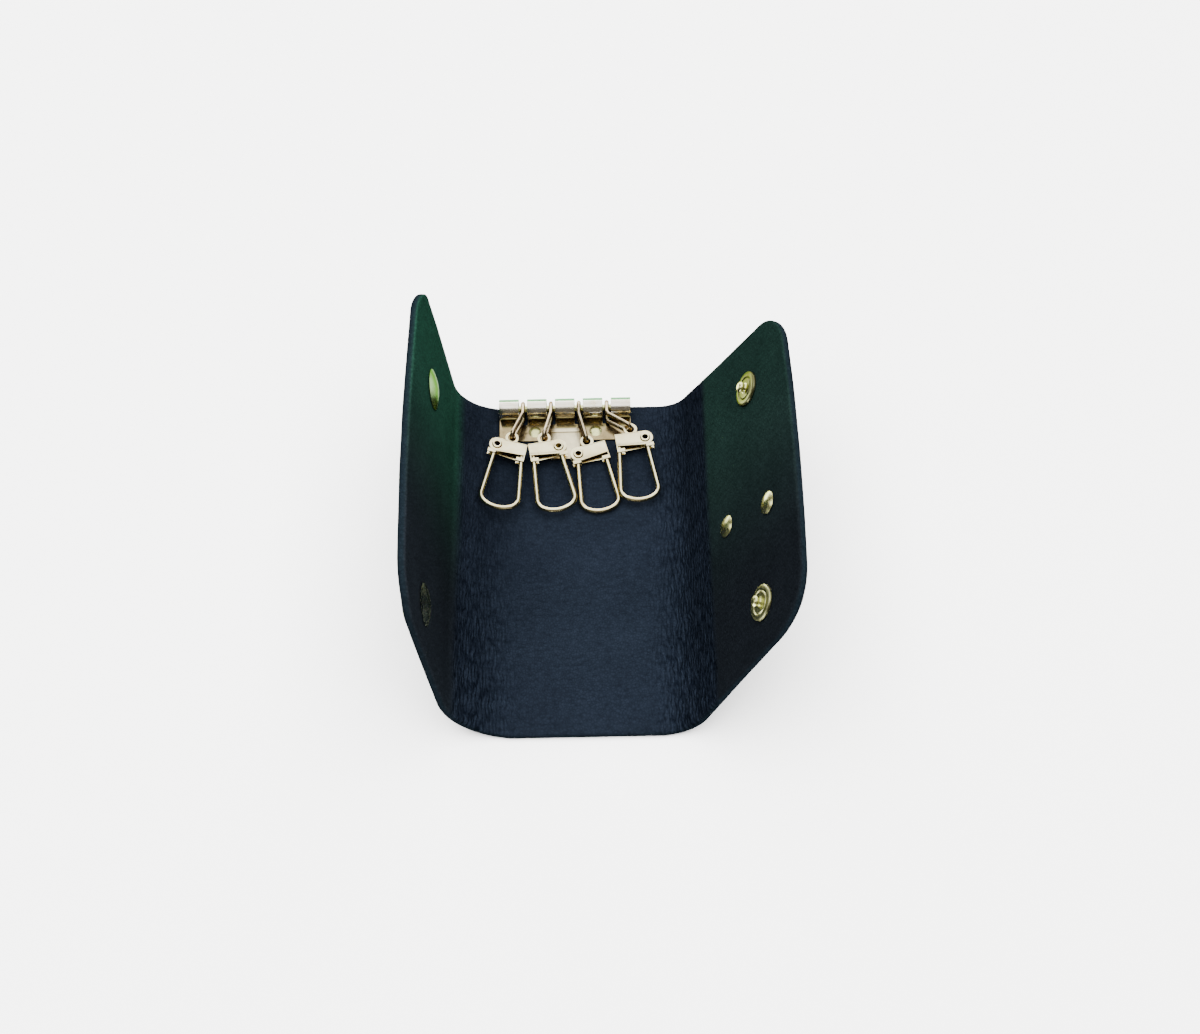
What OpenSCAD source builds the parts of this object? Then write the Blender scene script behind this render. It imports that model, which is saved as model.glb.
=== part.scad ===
/* [Leather] */
// thickness of the hide
leather_t = 2.2; // [1.6:0.1:3]
// length of the case along its folds
case_l = 104; // [90:1:118]
// half width of the part that lies flat
half_flat = 20; // [18:0.5:22]
// gap between two pieces of hide at a crease
crease_gap = 0.4; // [0.35:0.05:0.6]

/* [Left flap] */
// inner radius of the left bend
left_bend_r = 16; // [14:0.5:18]
// lean of the left flap from flat, in degrees
left_lean_angle = 83.5; // [78:0.5:90]
// where the first left crease lies on the bend, in degrees
left_crease_1_angle = 41; // [36:1:44]
// where the second left crease lies on the bend, in degrees
left_crease_2_angle = 72; // [66:1:76]
// straight width of the left flap
left_width = 46.8; // [40:0.2:48]
// narrowing of the left flap's far edge for each unit away from the flat
left_far_taper = 0.05; // [0:0.01:0.1]
// narrowing of its near edge
left_near_taper = 0.12; // [0.04:0.01:0.14]
// round of its far corner
left_far_corner_r = 5.5; // [3:0.5:14]
// round of its near corner
left_near_corner_r = 12.5; // [4:0.5:16]

/* [Right flap] */
// inner radius of the right bend
right_bend_r = 10; // [8:0.5:12]
// lean of the right flap from flat, in degrees
right_lean_angle = 64; // [58:0.5:68]
// where the first right crease lies on the bend, in degrees
right_crease_1_angle = 32; // [24:1:36]
// distance from the end of the bend to the second right crease
right_crease_2 = 12.1; // [10:0.1:14]
// straight width of the right flap
right_width = 53; // [46:0.5:56]
// narrowing of the right flap's far edge for each unit away from the flat
right_far_taper = 0.1; // [0:0.01:0.12]
// narrowing of its near edge
right_near_taper = 0.09; // [0:0.01:0.12]
// round of its far corner
right_far_corner_r = 12.5; // [4:0.5:16]
// round of its near corner
right_near_corner_r = 15; // [4:0.5:16]

/* [Snaps] */
// distance between the two snaps of a flap
snap_pitch = 65.2; // [50:0.2:68]
// shift of the snaps and rivets towards the near edge
snap_shift = 2.2; // [0:0.1:3]
// distance from the left bend to the snaps
left_snap_x = 25.8; // [20:0.1:32]
// distance from the right bend to the snaps
right_snap_x = 34.8; // [30:0.1:40]
// diameter of the domed caps
cap_d = 11; // [9:0.5:13]
// height of the domed caps
cap_h = 1.1; // [0.8:0.1:1.6]
// diameter of the post that runs through the hide
snap_post_d = 2.8; // [2.2:0.1:3.4]
// diameter of the socket
socket_d = 9.4; // [8.5:0.1:11]
// diameter of the socket's raised ring
socket_ring_d = 6.8; // [6.2:0.1:8]
// height of the socket
socket_h = 3; // [2.8:0.1:3.6]
// thickness of the socket's floor
socket_floor_t = 0.5; // [0.4:0.05:0.6]
// thickness of the socket's lip
socket_lip_t = 0.4; // [0.3:0.05:0.5]
// height of the post's rolled end in the socket
post_roll_h = 0.25; // [0.2:0.05:0.3]
// diameter of the stud's base
stud_base_d = 9.5; // [8:0.5:11]
// height of the stud's base
stud_base_h = 0.8; // [0.6:0.1:1]
// diameter of the groove in the stud's base, to the middle of the groove
groove_ring_d = 6.1; // [5:0.1:6.8]
// width of that groove
groove_w = 0.4; // [0.3:0.05:0.5]
// diameter of the stud's ball
ball_d = 3; // [2.6:0.1:3.4]
// height of the ball between its flats
ball_h = 0.8; // [0.7:0.05:0.85]
// diameter of the stud's neck
neck_d = 2.1; // [1.6:0.1:2.3]
// height of the stud over its base
ball_top = 2; // [1.9:0.05:2.1]
// diameter of the spring wire in the socket
spring_wire_d = 0.5; // [0.4:0.05:0.6]

/* [Outer tab] */
// length of the tab on the outside of the right flap
tab_l = 32; // [28:1:36]
// width of that tab
tab_w = 13; // [9:1:16]
// thickness of that tab
tab_t = 1.8; // [1.2:0.1:2.4]
// distance between the tab's two rivets
tab_rivet_pitch = 21.6; // [16:0.1:24]
// slope of the tab across the flap, in degrees
tab_slope_angle = -13; // [-20:1:0]
// distance from the right bend to the first rivet
tab_rivet_x = 19.5; // [18:0.1:22]
// distance of the first rivet from the middle, towards the near edge
tab_rivet_y = 3.9; // [0:0.1:6]
// diameter of the rivet heads
tab_rivet_d = 6; // [5:0.5:7]
// height of the rivet heads
tab_rivet_h = 1; // [0.7:0.1:1.3]
// diameter of the rivets' shanks
tab_shank_d = 2.7; // [2:0.1:3.2]

/* [Key plate] */
// width of the curls at the top of the key plate
curl_w = 5.6; // [5:0.1:6]
// gap between two curls
curl_gap = 2.4; // [2:0.1:2.6]
// outer diameter of the curls
curl_d = 5.7; // [5.4:0.1:6.2]
// thickness of the plate
plate_t = 0.7; // [0.5:0.05:0.75]
// distance from the rod to the plate's lower edge
plate_drop = 9.6; // [9.2:0.1:10.4]
// distance from the rod to the end of the plate's tongue
tongue_drop = 16; // [13:0.5:18]
// width of the tongue
tongue_w = 8.4; // [6:0.2:10]
// place of the plate's middle across the case
plate_x = -5.2; // [-8:0.1:0]
// distance from the rod to the far edge of the case
rod_inset = 2.4; // [2:0.1:4]
// diameter of the rod that carries the links
rod_d = 1.8; // [1.4:0.1:1.9]
// distance between the two plate rivets
plate_rivet_pitch = 17.4; // [17:0.1:17.8]
// distance from the rod to the plate rivets
plate_rivet_drop = 6.5; // [6.3:0.1:6.8]
// diameter of the plate rivet heads
plate_rivet_d = 3.6; // [3:0.1:3.8]
// height of the plate rivet heads
plate_rivet_head_h = 0.42; // [0.3:0.02:0.5]
// diameter of the plate rivets' shanks
plate_shank_d = 1.6; // [1.2:0.1:2]
// thickness of the plate rivets' back heads
back_head_t = 0.55; // [0.4:0.05:0.7]

/* [Links] */
// diameter of the link wire
link_wire_d = 1.1; // [0.9:0.05:1.2]
// radius of a link's sideways bend, to the middle of the wire
link_bend_r = 1.65; // [1.4:0.05:1.9]
// distance from the rod to the middle of a link's far end
link_reach = 10.5; // [10:0.1:11.5]
// sideways bend of each link, in degrees
link_slant_angles = [-20, -12.5, 14, 52];
// rise of each link over the leather, in degrees
link_rise_angles = [11, 10.5, 1.5, 10.5];

/* [Hooks] */
// turn of each hook to the side, in degrees
hook_turn_angles = [-12, 9, 16, 8];
// fall of each hook towards its loop, in degrees
hook_fall_angles = [-1, 4, 4, 4];
// roll of each hook about its length, in degrees
hook_roll_angles = [10, 0, 0, 0];
// turn of each loop about its eyelet, in degrees
loop_turn_angles = [3, 1, -7, -2];
// thickness of the folded sheet
sheet_t = 0.35; // [0.3:0.05:0.45]
// distance from the ear's hole to the top of the hook's body
body_top = 1.6; // [1.4:0.1:1.9]
// height of the hook's body
body_h = 4.4; // [4.2:0.1:5]
// how far the back sheet reaches below the front one
back_sheet_drop = 0.7; // [0.4:0.1:1]
// distance from the ear's hole to the end with the catch
catch_end = 4.8; // [4.6:0.1:5]
// length of the catch below the body
catch_l = 1.4; // [0.8:0.1:2]
// width of the catch
catch_w = 2.1; // [1.8:0.1:2.6]
// diameter of the hole in the ear
ear_hole_d = 2.2; // [2.1:0.05:2.4]
// width of the rim round that hole
ear_rim = 0.8; // [0.6:0.05:0.85]
// thickness of the ear
ear_t = 0.7; // [0.5:0.05:0.75]
// place of the eyelet across the hook
eyelet_x = 3.6; // [3.4:0.1:3.8]
// distance from the ear's hole down to the eyelet
eyelet_drop = 3.7; // [3.6:0.1:4]
// outer diameter of the eyelet's tube
eyelet_d = 1.7; // [1.4:0.1:1.8]
// bore of the eyelet
eyelet_bore = 1.1; // [0.8:0.1:1.2]
// diameter of the eyelet's rims
eyelet_rim_d = 2.9; // [2.4:0.1:3.2]
// thickness of the eyelet's rims
eyelet_rim_t = 0.2; // [0.15:0.05:0.3]
// diameter of the loop wire
loop_wire_d = 1.3; // [1.1:0.05:1.4]
// widest half width of the loop, to the middle of the wire
loop_half_w = 5.25; // [5:0.05:5.4]
// distance from the ear's hole to the bottom of the loop
loop_bottom = 22.5; // [20:0.5:24]
// radius of the loop's lower corners
loop_corner_r = 3; // [2.6:0.1:3.4]
// half angle of the loop's bottom curve, in degrees
loop_bottom_angle = 30; // [24:1:36]
// lean of the loop's strands, in degrees
loop_lean_angle = 5.5; // [4:0.5:6]
// distance from the ear's hole to the free tip of the loop
loop_tip = 5.3; // [5.1:0.1:5.5]

/* [Fits] */
// running clearance on a radius
run_fit = 0.05; // [0.03:0.01:0.08]
// clearance of a part that is set in a hole
set_fit = 0.02; // [0.01:0.01:0.04]

/* [Hidden] */
$fn = 64;
over = 0.5;
bead_share = 1.02;
link_count = 4;
half_l = case_l / 2;
bead_r = leather_t / 2;
seat_r = bead_r + crease_gap;
lap_share = 0.05;
bend_lap = leather_t * lap_share;
left_mid_r = left_bend_r + bead_r;
right_mid_r = right_bend_r + bead_r;
left_arc = left_bend_r * left_lean_angle * PI / 180;
right_arc = right_bend_r * right_lean_angle * PI / 180;
left_tapers = [left_near_taper, left_far_taper];
right_tapers = [right_near_taper, right_far_taper];
left_corners = [left_near_corner_r, left_far_corner_r];
right_corners = [right_near_corner_r, right_far_corner_r];
curl_r = curl_d / 2;
curl_pitch = curl_w + curl_gap;
plate_w = (link_count + 1) * curl_w + link_count * curl_gap;
rod_y = half_l - rod_inset;
rod_z = leather_t + curl_r;
rod_r = rod_d / 2;
curl_bore_r = curl_r - plate_t;
rod_head_l = curl_w / 2;
link_r = link_wire_d / 2;
ring_r = rod_r + run_fit + link_r;
link_run = curl_r + run_fit;
ear_ride = ear_t / 2;
hole_ahead = sqrt(pow(ring_r, 2) - pow(ear_ride, 2));
loop_r = loop_wire_d / 2;
channel_half = loop_r + run_fit;
body_half_t = channel_half + sheet_t;
eye_r = eyelet_d / 2 + run_fit + loop_r;
body_end_r = eye_r + loop_r;
body_low = body_top + body_h;
loop_corner_x = loop_half_w - loop_corner_r;
loop_bottom_r = loop_corner_r + loop_corner_x / sin(loop_bottom_angle);
strand_x = loop_corner_x + loop_corner_r * cos(loop_lean_angle);
plate_rivet_y = rod_y - plate_rivet_drop;
spring_r = neck_d / 2 + run_fit * 2 + spring_wire_d / 2;
sides = [-1, 1, -1, 1];
gold = [0.80, 0.70, 0.48];
pale = [0.86, 0.80, 0.62];
hide = [0.07, 0.08, 0.11];

// half the length of the hide at a distance from the flat part
function half_at(run, taper) = half_l - taper * run;

// place of a link across the case
function link_x(n) = plate_x + (n - (link_count - 1) / 2) * curl_pitch;

// a bend of the hide between two angles, on the right of the flat part
module bend(inner_r, start, stop) {
    translate([half_flat, 0, leather_t + inner_r])
        rotate([90, 0, 0])
            rotate([0, 0, start - 90])
                rotate_extrude(angle = stop - start)
                    translate([inner_r, -half_l])
                        square([leather_t, case_l]);
}

// a rod along the crease at an angle of the bend
module crease_rod(mid_r, angle, radius) {
    translate([half_flat + mid_r * sin(angle), 0, leather_t / 2 + mid_r * (1 - cos(angle))])
        rotate([90, 0, 0])
            cylinder(r = radius, h = case_l + over, center = true);
}

// the flap's own frame: x runs up the flap, z points to its inner side
module on_flap(inner_r, lean) {
    translate([half_flat + inner_r * sin(lean), 0, leather_t + inner_r * (1 - cos(lean))])
        rotate([0, -lean, 0])
            children();
}

// the plan of the hide over a bend, which trims its near and far ends to their tapers
module bend_plan(mid_r, lean, arc, tapers) {
    reach = half_flat + mid_r * sin(min(lean, 90)) + leather_t;
    run = arc * reach / (half_flat + mid_r);
    translate([0, 0, -over])
        linear_extrude(2 * mid_r + over)
            polygon([
                [-over, -half_l], [half_flat, -half_l], [reach, -half_at(run, tapers[0])],
                [reach, half_at(run, tapers[1])], [half_flat, half_l], [-over, half_l]
            ]);
}

// the outline of a flap from a start to its free edge, with a near and a far corner
module flap_outline(start, width, arc, tapers, corners) {
    shoulders = [width - corners[0], width - corners[1]];
    near_y = -half_at(arc + shoulders[0], tapers[0]);
    far_y = half_at(arc + shoulders[1], tapers[1]);
    polygon([
        [start, -half_at(arc + start, tapers[0])], [shoulders[0], near_y],
        [width, near_y + corners[0]], [width, far_y - corners[1]],
        [shoulders[1], far_y], [start, half_at(arc + start, tapers[1])]
    ]);
    translate([shoulders[0], near_y + corners[0]])
        circle(corners[0]);
    translate([shoulders[1], far_y - corners[1]])
        circle(corners[1]);
}

// the two places of the snaps along a flap
module at_snaps(x) {
    for (side = [-1, 1])
        translate([x, side * snap_pitch / 2 - snap_shift, 0])
            children();
}

// the frame of the tab on the right flap: the first rivet is its origin
module on_tab() {
    translate([tab_rivet_x, -tab_rivet_y, 0])
        rotate([0, 0, tab_slope_angle])
            children();
}

module at_tab_rivets() {
    for (x = [0, tab_rivet_pitch])
        translate([x, 0, 0])
            children();
}

// a hole through the hide
module hide_hole(diameter) {
    translate([0, 0, -leather_t - tab_t - over])
        cylinder(d = diameter + 2 * set_fit, h = leather_t + tab_t + 2 * over);
}

module half_hide(inner_r, lean, arc, crease, tapers) {
    mid_r = inner_r + bead_r;
    difference() {
        union() {
            translate([-over, -half_l, 0])
                cube([half_flat + over, case_l, leather_t]);
            intersection() {
                bend(inner_r, 0, crease);
                bend_plan(mid_r, lean, arc, tapers);
            }
        }
        crease_rod(mid_r, crease, seat_r);
    }
}

module at_plate_rivets() {
    for (side = [-1, 1])
        translate([plate_x + side * plate_rivet_pitch / 2, plate_rivet_y, 0])
            children();
}

// the seat that the plate has pressed into the start of the bends
module plate_seat() {
    translate([plate_x - plate_w / 2 - set_fit, rod_y - plate_drop - set_fit, leather_t - set_fit])
        cube([plate_w + 2 * set_fit, plate_drop + rod_inset + over, curl_d]);
}

module back_panel() {
    color(hide)
        difference() {
            union() {
                mirror([1, 0, 0])
                    half_hide(left_bend_r, left_lean_angle, left_arc, left_crease_1_angle, left_tapers);
                half_hide(right_bend_r, right_lean_angle, right_arc, right_crease_1_angle, right_tapers);
            }
            plate_seat();
            at_plate_rivets() {
                translate([0, 0, -over])
                    cylinder(d = plate_shank_d + 2 * set_fit, h = leather_t + 2 * over);
                translate([0, 0, -over])
                    cylinder(d = plate_rivet_d + 2 * set_fit, h = back_head_t + set_fit + over);
            }
        }
}

module left_fold() {
    color(hide)
        mirror([1, 0, 0])
            intersection() {
                union() {
                    bend(left_bend_r, left_crease_1_angle, left_crease_2_angle);
                    crease_rod(left_mid_r, left_crease_1_angle, bead_r);
                    crease_rod(left_mid_r, left_crease_2_angle, bead_r);
                }
                bend_plan(left_mid_r, left_lean_angle, left_arc, left_tapers);
            }
}

module left_flap() {
    color(hide)
        mirror([1, 0, 0])
            difference() {
                union() {
                    intersection() {
                        bend(left_bend_r, left_crease_2_angle, left_lean_angle);
                        bend_plan(left_mid_r, left_lean_angle, left_arc, left_tapers);
                    }
                    on_flap(left_bend_r, left_lean_angle)
                        translate([0, 0, -leather_t])
                            linear_extrude(leather_t)
                                flap_outline(-bend_lap, left_width, left_arc, left_tapers, left_corners);
                }
                crease_rod(left_mid_r, left_crease_2_angle, seat_r);
                on_flap(left_bend_r, left_lean_angle)
                    at_snaps(left_snap_x)
                        hide_hole(snap_post_d);
            }
}

module right_fold() {
    start_ends = [for (taper = right_tapers) half_at(right_arc, taper)];
    crease_ends = [for (taper = right_tapers) half_at(right_arc + right_crease_2, taper)];
    color(hide) {
        intersection() {
            union() {
                bend(right_bend_r, right_crease_1_angle, right_lean_angle);
                crease_rod(right_mid_r, right_crease_1_angle, bead_r);
            }
            bend_plan(right_mid_r, right_lean_angle, right_arc, right_tapers);
        }
        on_flap(right_bend_r, right_lean_angle)
            translate([0, 0, -leather_t])
                linear_extrude(leather_t)
                    polygon([
                        [-bend_lap, -start_ends[0]], [right_crease_2, -crease_ends[0]],
                        [right_crease_2, crease_ends[1]], [-bend_lap, start_ends[1]]
                    ]);
        on_flap(right_bend_r, right_lean_angle)
            translate([right_crease_2, crease_ends[1], -bead_r])
                rotate([90, 0, 0])
                    cylinder(r = bead_r, h = crease_ends[0] + crease_ends[1]);
    }
}

module right_flap() {
    color(hide)
        on_flap(right_bend_r, right_lean_angle)
            difference() {
                translate([0, 0, -leather_t])
                    linear_extrude(leather_t)
                        flap_outline(right_crease_2, right_width, right_arc, right_tapers, right_corners);
                translate([right_crease_2, 0, -bead_r])
                    rotate([90, 0, 0])
                        cylinder(r = seat_r, h = case_l + over, center = true);
                at_snaps(right_snap_x)
                    hide_hole(snap_post_d);
                on_tab()
                    at_tab_rivets()
                        hide_hole(tab_shank_d);
            }
}

// a low dome, its flat side at z = 0
module dome(diameter, height) {
    dome_r = (pow(diameter / 2, 2) + pow(height, 2)) / (2 * height);
    intersection() {
        translate([0, 0, height - dome_r])
            sphere(r = dome_r, $fn = 4 * $fn);
        cylinder(d = diameter, h = height);
    }
}

module left_snap_caps() {
    color(gold)
        mirror([1, 0, 0])
            on_flap(left_bend_r, left_lean_angle)
                at_snaps(left_snap_x) {
                    dome(cap_d, cap_h);
                    translate([0, 0, -leather_t - socket_floor_t])
                        cylinder(d = snap_post_d, h = leather_t + socket_floor_t);
                    translate([0, 0, -leather_t - socket_floor_t - post_roll_h])
                        cylinder(d = ball_d, h = post_roll_h);
                }
}

// the socket stands on the outer side of the left flap, its mouth away from it
module left_snap_sockets() {
    mouth_r = ball_d / 2 + run_fit * 2;
    hollow_r = spring_r + spring_wire_d + run_fit * 2;
    color(gold)
        mirror([1, 0, 0])
            on_flap(left_bend_r, left_lean_angle)
                at_snaps(left_snap_x)
                    translate([0, 0, -leather_t])
                        mirror([0, 0, 1])
                            difference() {
                                union() {
                                    cylinder(d = socket_d, h = socket_floor_t);
                                    cylinder(d = socket_ring_d, h = socket_h);
                                }
                                translate([0, 0, -over])
                                    cylinder(d = snap_post_d + 2 * set_fit, h = socket_h);
                                translate([0, 0, socket_floor_t])
                                    cylinder(r = hollow_r, h = socket_h - socket_floor_t - socket_lip_t);
                                translate([0, 0, socket_floor_t])
                                    cylinder(r = mouth_r, h = socket_h);
                            }
}

module socket_springs() {
    color(pale)
        mirror([1, 0, 0])
            on_flap(left_bend_r, left_lean_angle)
                at_snaps(left_snap_x)
                    translate([0, 0, -leather_t - socket_h + socket_lip_t + spring_wire_d / 2])
                        rotate_extrude()
                            translate([spring_r, 0])
                                circle(d = spring_wire_d);
}

// the stud: a grooved base, a neck and a ball head, on the inner side of the right flap
module right_snap_studs() {
    color(gold)
        on_flap(right_bend_r, right_lean_angle)
            at_snaps(right_snap_x) {
                difference() {
                    cylinder(d = stud_base_d, h = stud_base_h);
                    translate([0, 0, stud_base_h])
                        rotate_extrude()
                            translate([groove_ring_d / 2, 0])
                                circle(d = groove_w);
                }
                cylinder(d = neck_d, h = stud_base_h + ball_top - ball_h / 2);
                translate([0, 0, stud_base_h + ball_top - ball_h / 2])
                    intersection() {
                        sphere(d = ball_d);
                        cylinder(d = ball_d + over, h = ball_h, center = true);
                    }
            }
}

module right_snap_caps() {
    color(gold)
        on_flap(right_bend_r, right_lean_angle)
            at_snaps(right_snap_x) {
                translate([0, 0, -leather_t])
                    mirror([0, 0, 1])
                        dome(cap_d, cap_h);
                translate([0, 0, -leather_t])
                    cylinder(d = snap_post_d, h = leather_t);
            }
}

module tab_rivets() {
    color(gold)
        on_flap(right_bend_r, right_lean_angle)
            on_tab()
                at_tab_rivets() {
                    dome(tab_rivet_d, tab_rivet_h);
                    translate([0, 0, -leather_t - tab_t])
                        cylinder(d = tab_shank_d, h = leather_t + tab_t);
                    translate([0, 0, -leather_t - tab_t])
                        mirror([0, 0, 1])
                            dome(tab_rivet_d, tab_rivet_h);
                }
}

module outer_tab() {
    color(hide)
        on_flap(right_bend_r, right_lean_angle)
            on_tab()
                difference() {
                    translate([0, 0, -leather_t - tab_t])
                        linear_extrude(tab_t) {
                            translate([(tab_rivet_pitch - tab_l + tab_w) / 2, -tab_w / 2])
                                square([tab_l - tab_w, tab_w]);
                            for (side = [-1, 1])
                                translate([(tab_rivet_pitch + side * (tab_l - tab_w)) / 2, 0])
                                    circle(d = tab_w);
                        }
                    at_tab_rivets()
                        hide_hole(tab_shank_d);
                }
}

// the plate: five curls on a sheet with a tongue, slotted where the links pass
module key_plate() {
    slot_reach = curl_r + link_wire_d;
    color(pale)
        translate([plate_x, rod_y, leather_t])
            difference() {
                union() {
                    translate([-plate_w / 2, -plate_drop, 0])
                        cube([plate_w, plate_drop, plate_t]);
                    translate([-tongue_w / 2, -tongue_drop, 0])
                        cube([tongue_w, tongue_drop, plate_t]);
                    translate([-plate_w / 2, 0, curl_r])
                        rotate([0, 90, 0])
                            cylinder(r = curl_r, h = plate_w);
                }
                translate([-plate_w / 2 - over, 0, curl_r])
                    rotate([0, 90, 0])
                        cylinder(r = curl_bore_r, h = plate_w + 2 * over);
                for (n = [0 : link_count - 1])
                    translate([link_x(n) - plate_x - curl_gap / 2, -slot_reach, -over])
                        cube([curl_gap, slot_reach + curl_d, curl_d + 2 * over]);
                for (side = [-1, 1])
                    translate([side * plate_rivet_pitch / 2, plate_rivet_y - rod_y, -over])
                        cylinder(d = plate_shank_d + 2 * set_fit, h = plate_t + 2 * over);
            }
}

module hook_rod() {
    color(pale)
        translate([plate_x, rod_y, rod_z])
            rotate([0, 90, 0]) {
                cylinder(r = rod_r, h = plate_w - 2 * set_fit, center = true);
                for (side = [-1, 1])
                    translate([0, 0, side * (plate_w - rod_head_l) / 2])
                        cylinder(r = curl_bore_r - set_fit, h = rod_head_l, center = true);
            }
}

module plate_rivets() {
    color(gold)
        at_plate_rivets() {
            translate([0, 0, leather_t + plate_t])
                dome(plate_rivet_d, plate_rivet_head_h);
            cylinder(d = plate_shank_d, h = leather_t + plate_t);
            cylinder(d = plate_rivet_d, h = back_head_t);
        }
}

// the frame of a link: the rod is its x axis and the link runs along -y
module on_link(n) {
    translate([link_x(n), rod_y, rod_z])
        rotate([-link_rise_angles[n], 0, 0])
            children();
}

// the frame at the end of a link's bend, turned to its slant
module past_bend(n) {
    slant = link_slant_angles[n];
    side = sign(slant);
    translate([side * link_bend_r * (1 - cos(slant)), -link_run - link_bend_r * sin(abs(slant)), 0])
        rotate([0, 0, slant])
            children();
}

// the straight part of a link beyond its bend
function link_straight(n) = link_reach - link_run - link_bend_r * abs(link_slant_angles[n]) * PI / 180;

// half a ring of wire in the upright plane, open towards +y
module half_ring() {
    rotate([0, 90, 0])
        rotate([0, 0, 180])
            rotate_extrude(angle = 180)
                translate([ring_r, 0])
                    circle(r = link_r);
}

// a bead that closes the joint between two lengths of wire
module wire_bead(radius) {
    sphere(r = radius * bead_share);
}

module link(n) {
    slant = link_slant_angles[n];
    side = sign(slant);
    color(pale)
        on_link(n) {
            rotate([180, 0, 0])
                half_ring();
            past_bend(n)
                translate([0, -link_straight(n), 0])
                    half_ring();
            for (level = [-ring_r, ring_r]) {
                translate([0, 0, level]) {
                    rotate([90, 0, 0])
                        cylinder(r = link_r, h = link_run);
                    wire_bead(link_r);
                    translate([0, -link_run, 0])
                        wire_bead(link_r);
                }
                translate([side * link_bend_r, -link_run, level])
                    rotate([0, 0, side > 0 ? 180 : slant])
                        rotate_extrude(angle = abs(slant))
                            translate([link_bend_r, 0])
                                circle(r = link_r);
                past_bend(n)
                    translate([0, 0, level]) {
                        wire_bead(link_r);
                        rotate([90, 0, 0])
                            cylinder(r = link_r, h = link_straight(n));
                        translate([0, -link_straight(n), 0])
                            wire_bead(link_r);
                    }
            }
        }
}

// the frame of a hook: the hole of its ear is the origin, its loop lies along -y
module on_hook(n) {
    slant = link_slant_angles[n];
    on_link(n)
        past_bend(n)
            translate([0, -link_straight(n) - hole_ahead, -ear_ride])
                rotate([0, 0, -slant])
                    rotate([link_rise_angles[n], 0, 0])
                        rotate([hook_fall_angles[n], hook_roll_angles[n], hook_turn_angles[n]])
                            children();
}

// a hook drawn with its eyelet on the left is mirrored where the photo has it on the right
module facing(n) {
    if (sides[n] < 0)
        children();
    else
        mirror([1, 0, 0])
            children();
}

module body_outline(low) {
    translate([-eyelet_x, -eyelet_drop])
        circle(body_end_r);
    translate([-eyelet_x, -low])
        square([eyelet_x + catch_end, low - body_top]);
}

module hook_body(n) {
    bridge_start = -eyelet_x + body_end_r;
    color(pale)
        on_hook(n)
            facing(n)
                difference() {
                    union() {
                        for (level = [-body_half_t, channel_half])
                            translate([0, 0, level])
                                linear_extrude(sheet_t) {
                                    body_outline(level > 0 ? body_low : body_low + back_sheet_drop);
                                    translate([catch_end - catch_w, -body_low - catch_l])
                                        square([catch_w, catch_l + sheet_t]);
                                }
                        translate([bridge_start, -body_top - sheet_t, -body_half_t])
                            cube([catch_end - bridge_start, sheet_t, 2 * body_half_t]);
                        translate([0, 0, -ear_t / 2])
                            linear_extrude(ear_t) {
                                circle(ear_hole_d / 2 + ear_rim);
                                translate([-ear_hole_d / 2 - ear_rim, -body_top - sheet_t])
                                    square([ear_hole_d + 2 * ear_rim, body_top + sheet_t]);
                            }
                    }
                    translate([0, 0, -body_half_t])
                        cylinder(d = ear_hole_d, h = 2 * body_half_t);
                    translate([-eyelet_x, -eyelet_drop, -body_half_t - over])
                        cylinder(d = eyelet_d + 2 * set_fit, h = 2 * (body_half_t + over));
                }
}

module hook_eyelet(n) {
    color(gold)
        on_hook(n)
            facing(n)
                translate([-eyelet_x, -eyelet_drop, 0])
                    difference() {
                        union() {
                            cylinder(d = eyelet_d, h = 2 * body_half_t, center = true);
                            for (side = [-1, 1])
                                translate([0, 0, side * (body_half_t + eyelet_rim_t / 2)])
                                    cylinder(d = eyelet_rim_d, h = eyelet_rim_t, center = true);
                        }
                        cylinder(d = eyelet_bore, h = 2 * (body_half_t + over), center = true);
                    }
}

// a strand of the loop between its lower corner and a height
module strand(side, low_y, high_y) {
    rise = high_y - low_y;
    translate([side * strand_x, low_y, 0])
        rotate([-90, 0, side * loop_lean_angle])
            cylinder(r = loop_r, h = rise / cos(loop_lean_angle));
}

module hook_loop(n) {
    corner_y = -loop_bottom + loop_bottom_r - (loop_bottom_r - loop_corner_r) * cos(loop_bottom_angle);
    low_y = corner_y + loop_corner_r * sin(loop_lean_angle);
    bottom_end_x = loop_bottom_r * sin(loop_bottom_angle);
    bottom_end_y = -loop_bottom + loop_bottom_r * (1 - cos(loop_bottom_angle));
    spin = sides[n] < 0 ? loop_turn_angles[n] : -loop_turn_angles[n];
    color(pale)
        on_hook(n)
            facing(n)
                translate([-eyelet_x, -eyelet_drop, 0])
                    rotate([0, 0, spin])
                        translate([eyelet_x, eyelet_drop, 0]) {
                            translate([-eyelet_x, -eyelet_drop, 0])
                                rotate_extrude()
                                    translate([eye_r, 0])
                                        circle(r = loop_r);
                            strand(-1, low_y, -eyelet_drop - eye_r);
                            strand(1, low_y, -loop_tip);
                            for (side = [-1, 1]) {
                                translate([side * strand_x, low_y, 0])
                                    wire_bead(loop_r);
                                translate([side * bottom_end_x, bottom_end_y, 0])
                                    wire_bead(loop_r);
                            }
                            translate([0, -loop_bottom + loop_bottom_r, 0])
                                rotate([0, 0, -90 - loop_bottom_angle])
                                    rotate_extrude(angle = 2 * loop_bottom_angle)
                                        translate([loop_bottom_r, 0])
                                            circle(r = loop_r);
                            translate([loop_corner_x, corner_y, 0])
                                rotate([0, 0, loop_bottom_angle - 90])
                                    rotate_extrude(angle = 90 - loop_bottom_angle + loop_lean_angle)
                                        translate([loop_corner_r, 0])
                                            circle(r = loop_r);
                            translate([-loop_corner_x, corner_y, 0])
                                rotate([0, 0, 180 - loop_lean_angle])
                                    rotate_extrude(angle = 90 - loop_bottom_angle + loop_lean_angle)
                                        translate([loop_corner_r, 0])
                                            circle(r = loop_r);
                        }
}

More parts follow.
